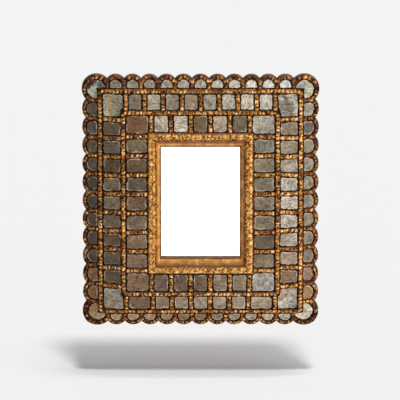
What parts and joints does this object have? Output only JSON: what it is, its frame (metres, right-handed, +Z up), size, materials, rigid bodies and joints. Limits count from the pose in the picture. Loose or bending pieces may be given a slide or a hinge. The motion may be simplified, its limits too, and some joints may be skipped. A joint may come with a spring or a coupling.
{
  "type": "wall mirror",
  "caption": "Upright wall mirror in a wide bevelled giltwood frame with a scalloped edge, three rings of small aged mirror tiles and two swinging hanger rings.",
  "frame": {"origin": "centre of the mirror on the wall plane that the bumpers touch", "axes": "+X to the viewer's right, +Z up, the front faces -Y and the wall is the plane Y = 0"},
  "size_m": [0.612, 0.0655, 0.67],
  "materials": {
    "gilt": "worn gold leaf over red clay on carved wood",
    "dark_wood": "dark stained cell floors, dusty edges",
    "bare_wood": "bare cedar",
    "panel_wood": "thin bare plywood",
    "silvered_tile": "aged, clouded silvering",
    "mirror_glass": "clear polished",
    "steel": "zinc plated",
    "bumper_rubber": "matt"
  },
  "bodies": {
    "frame": {"back_board_top": "bare_wood", "back_board_right": "bare_wood", "back_board_bottom": "bare_wood", "back_board_left": "bare_wood", "flat_board_top": "dark_wood", "flat_board_right": "dark_wood", "flat_board_bottom": "dark_wood", "flat_board_left": "dark_wood", "bevel_board_top": "dark_wood", "bevel_board_right": "dark_wood", "bevel_board_bottom": "dark_wood", "bevel_board_left": "dark_wood", "sight_frame_top": "gilt", "sight_frame_right": "gilt", "sight_frame_bottom": "gilt", "sight_frame_left": "gilt", "inner_rail_top": "gilt", "inner_rail_right": "gilt", "inner_rail_bottom": "gilt", "inner_rail_left": "gilt", "outer_rail_top": "gilt", "outer_rail_right": "gilt", "outer_rail_bottom": "gilt", "outer_rail_left": "gilt", "scallop_rim_top": "gilt", "scallop_rim_right": "gilt", "scallop_rim_bottom": "gilt", "scallop_rim_left": "gilt", "inner_dividers_top": "gilt", "inner_dividers_right": "gilt", "inner_dividers_bottom": "gilt", "inner_dividers_left": "gilt", "middle_dividers_top": "gilt", "middle_dividers_right": "gilt", "middle_dividers_bottom": "gilt", "middle_dividers_left": "gilt", "inner_tiles_top": "silvered_tile", "inner_tiles_right": "silvered_tile", "inner_tiles_bottom": "silvered_tile", "inner_tiles_left": "silvered_tile", "middle_tiles_top": "silvered_tile", "middle_tiles_right": "silvered_tile", "middle_tiles_bottom": "silvered_tile", "middle_tiles_left": "silvered_tile", "outer_tiles_top": "silvered_tile", "outer_tiles_right": "silvered_tile", "outer_tiles_bottom": "silvered_tile", "outer_tiles_left": "silvered_tile", "corner_tiles": "silvered_tile", "mirror_plate": "mirror_glass", "packing_strips": "bare_wood", "back_panel": "panel_wood", "panel_screws": "steel", "lap_pegs": "bare_wood", "wall_bumpers": "bumper_rubber", "hanger_strap_left": "steel", "hanger_strap_right": "steel", "hanger_screws": "steel"},
    "ring_left": {"hanger_ring_left": "steel"},
    "ring_right": {"hanger_ring_right": "steel"}
  },
  "joints": [
    {"name": "ring_left_swing", "type": "hinge", "parent": "frame", "child": "ring_left", "pos_m": [-0.184, -0.0036, 0.14], "axis": [1, 0, 0], "range_deg": [0, 180]},
    {"name": "ring_right_swing", "type": "hinge", "parent": "frame", "child": "ring_right", "pos_m": [0.184, -0.0036, 0.14], "axis": [1, 0, 0], "range_deg": [0, 180]}
  ]
}
